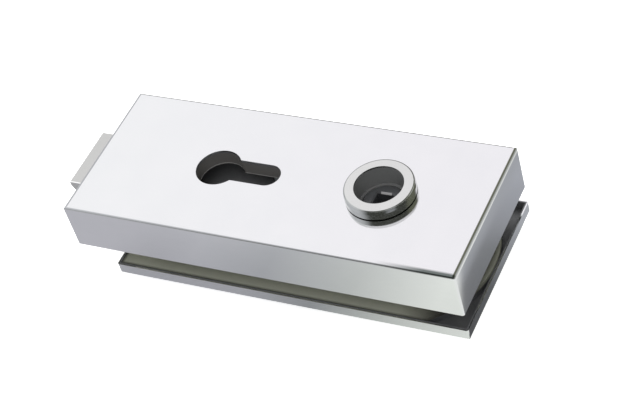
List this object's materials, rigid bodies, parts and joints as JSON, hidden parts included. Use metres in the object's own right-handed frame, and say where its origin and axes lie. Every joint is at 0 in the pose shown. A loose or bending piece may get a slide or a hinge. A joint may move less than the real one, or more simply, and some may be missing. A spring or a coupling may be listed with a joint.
{
  "type": "glass door center lock",
  "caption": "Glass door lock: stainless latch case and flat counter plate clamping one pane, with lock cylinder cut-out, lever handle collars and a sprung bevelled latch.",
  "frame": {"origin": "on the handle spindle axis, at the middle of the glass pane that the lock clamps", "axes": "+X from the latch end to the far end, +Y across the width, +Z along the spindle out of the case side"},
  "size_m": [0.1643, 0.062, 0.0412],
  "materials": {
    "stainless_cover": "satin stainless sheet",
    "turned_collar": "fine turned stainless",
    "nickel_plated_latch": "satin nickel plate",
    "zinc_casting": "tumbled zinc die casting",
    "sheet_steel": "cold rolled steel",
    "zinc_plated_steel": "bright zinc plate",
    "spring_steel": "drawn spring wire",
    "sintered_steel": "sintered steel, oiled",
    "dark_nylon": "moulded nylon",
    "white_nylon": "moulded nylon",
    "gasket_rubber": "smooth rubber sheet"
  },
  "bodies": {
    "case": {"cover": "stainless_cover", "cylinder_liner": "dark_nylon", "case_lid": "sheet_steel", "lid_screws": "zinc_plated_steel", "case_body": "zinc_casting", "latch_guide": "white_nylon", "latch_springs": "spring_steel", "locking_slide": "sheet_steel", "detent_spring": "spring_steel", "cylinder_screw": "zinc_plated_steel", "follower_bush_upper": "dark_nylon", "follower_bush_lower": "dark_nylon", "follower_spring": "spring_steel", "case_collar": "turned_collar", "case_collar_bush": "dark_nylon", "cover_clips": "spring_steel", "case_gasket": "gasket_rubber", "glass_sleeves": "white_nylon", "clamp_screws": "zinc_plated_steel", "counter_gasket": "gasket_rubber", "clamp_plate": "sheet_steel", "tray_clips": "spring_steel", "counter_cover": "stainless_cover", "counter_collar": "turned_collar", "counter_collar_bush": "dark_nylon"},
    "follower": {"follower": "sintered_steel"},
    "latch": {"latch_bolt": "nickel_plated_latch", "pull_bar": "sheet_steel", "pull_rivets": "zinc_plated_steel"}
  },
  "joints": [
    {"name": "follower_turn", "type": "hinge", "parent": "case", "child": "follower", "pos_m": [0, 0, 0.0125], "axis": [0, 0, 1], "range_deg": [0, 43.5], "deforming": ["follower_spring"]},
    {"name": "latch_slide", "type": "slide", "parent": "case", "child": "latch", "axis": [1, 0, 0], "range_m": [0, 0.0093], "stiffness_N_per_m": 1400, "springref_m": -0.0078, "deforming": ["latch_springs"]}
  ],
  "couplings": [
    {"joint": "follower_turn", "follows": "latch_slide", "rad_per_m": 81.64}
  ]
}
